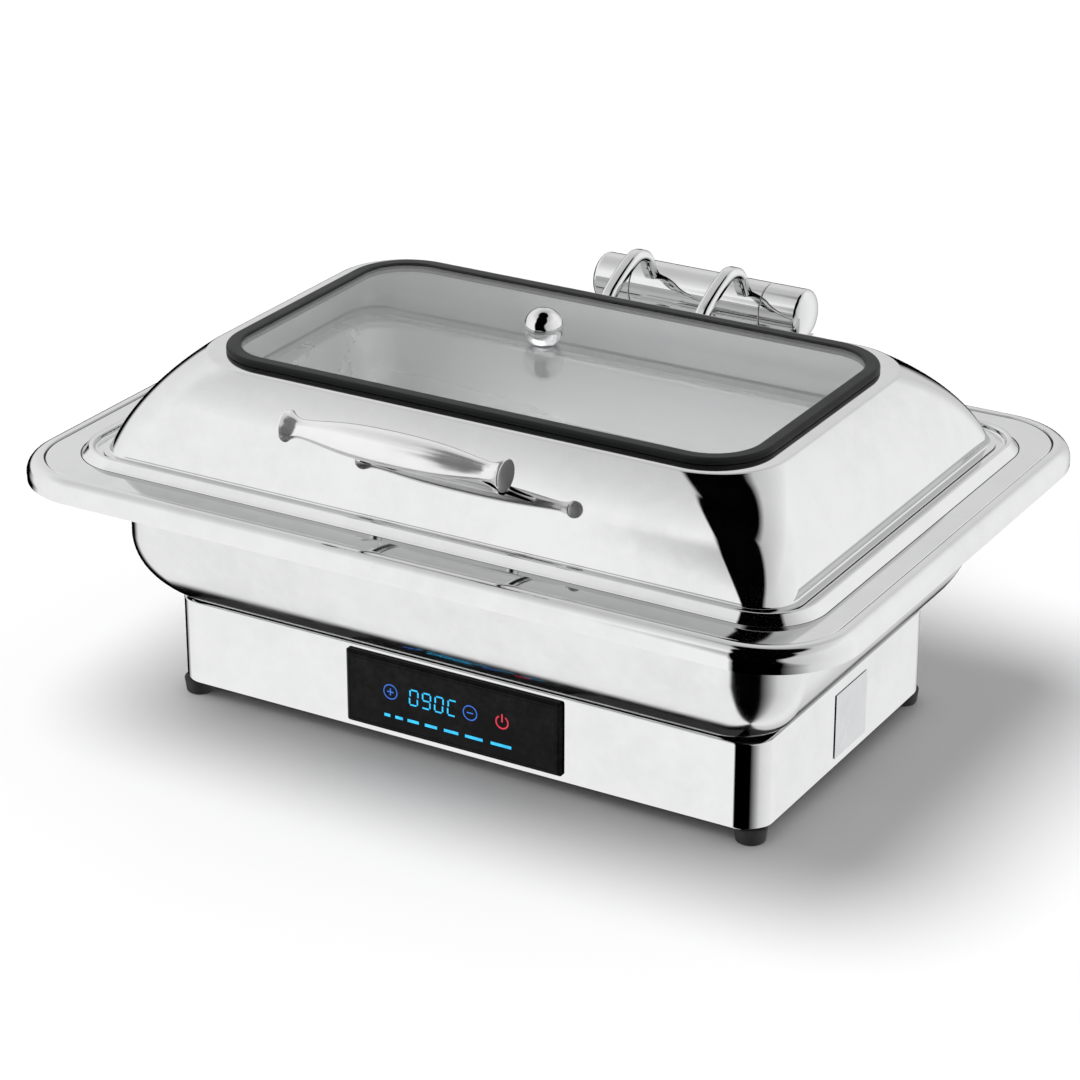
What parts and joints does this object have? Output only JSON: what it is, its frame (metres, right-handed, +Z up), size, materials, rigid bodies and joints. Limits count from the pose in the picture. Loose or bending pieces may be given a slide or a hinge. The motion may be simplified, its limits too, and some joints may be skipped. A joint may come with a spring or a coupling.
{
  "type": "electric buffet server",
  "caption": "Rectangular heated buffet server: a touch-controlled base, a water pan in a wide pressed rim, a food pan, and a glass-window lid on a damped rear hinge.",
  "frame": {"origin": "under the middle of the whole object's box, on the surface that the feet stand on", "axes": "+X to the right as seen from the control panel, -Y to the front (handle and control panel), +Z up"},
  "size_m": [0.66, 0.4914, 0.3013],
  "materials": {
    "polished_steel": "mirror-polished stainless steel",
    "satin_steel": "satin stainless steel",
    "plain_aluminium": "plain rolled aluminium",
    "zinc_steel": "bright zinc plate",
    "black_plastic": "fine-grained black moulding",
    "panel_gloss": "dark tinted gloss",
    "black_rubber": "matte black rubber",
    "circuit_board": "green solder mask",
    "red_sleeve": "heat-proof sleeve",
    "grey_sleeve": "flat grey sleeve",
    "label_foil": "blank printed foil",
    "clear_glass": "clear tempered glass"
  },
  "bodies": {
    "base": {"base_housing": "polished_steel", "heat_shield": "satin_steel", "temperature_sensor": "satin_steel", "heating_plate": "plain_aluminium", "base_bottom_cover": "zinc_steel", "heating_element": "zinc_steel", "foot_screw_front_left": "zinc_steel", "foot_screw_front_right": "zinc_steel", "foot_screw_rear_left": "zinc_steel", "foot_screw_rear_right": "zinc_steel", "plate_post_front_left": "zinc_steel", "plate_post_front_right": "zinc_steel", "plate_post_rear_left": "zinc_steel", "plate_post_rear_right": "zinc_steel", "control_panel_housing": "black_plastic", "led_display": "black_plastic", "power_inlet": "black_plastic", "power_relay": "black_plastic", "terminal_block": "black_plastic", "thermal_cutout": "black_plastic", "mains_lead": "black_plastic", "control_panel_glass": "panel_gloss", "foot_front_left": "black_rubber", "foot_front_right": "black_rubber", "foot_rear_left": "black_rubber", "foot_rear_right": "black_rubber", "display_board": "circuit_board", "power_board": "circuit_board", "power_transformer": "red_sleeve", "element_lead_front": "red_sleeve", "element_lead_rear": "red_sleeve", "display_ribbon": "grey_sleeve", "rating_plate": "label_foil"},
    "water_pan": {"water_pan": "polished_steel", "rim_frame": "polished_steel", "hinge_bracket": "polished_steel", "hinge_shaft": "zinc_steel", "hinge_damper": "zinc_steel", "hinge_end_left": "polished_steel", "hinge_end_right": "polished_steel", "bracket_bolt_left": "zinc_steel", "bracket_bolt_right": "zinc_steel", "bracket_nut_left": "zinc_steel", "bracket_nut_right": "zinc_steel"},
    "food_pan": {"food_pan": "satin_steel"},
    "lid": {"lid_shell": "polished_steel", "window_gasket": "black_rubber", "window_glass": "clear_glass", "vent_knob": "polished_steel", "knob_screw": "zinc_steel", "handle_grip": "polished_steel", "handle_arm_left": "polished_steel", "handle_arm_right": "polished_steel", "handle_bolt_left": "zinc_steel", "handle_bolt_right": "zinc_steel", "hinge_arm_left": "polished_steel", "hinge_arm_right": "polished_steel", "hinge_arm_bolt_left": "zinc_steel", "hinge_arm_bolt_right": "zinc_steel", "hinge_barrel": "polished_steel"}
  },
  "joints": [
    {"name": "water_pan_lift", "type": "slide", "parent": "base", "child": "water_pan", "axis": [0, 0, 1], "range_m": [0, 0.15]},
    {"name": "food_pan_lift", "type": "slide", "parent": "water_pan", "child": "food_pan", "axis": [0, 0, 1], "range_m": [0, 0.012]},
    {"name": "lid_hinge", "type": "hinge", "parent": "water_pan", "child": "lid", "pos_m": [0, 0.22625, 0.2441], "axis": [-1, 0, 0], "range_deg": [0, 90]}
  ]
}
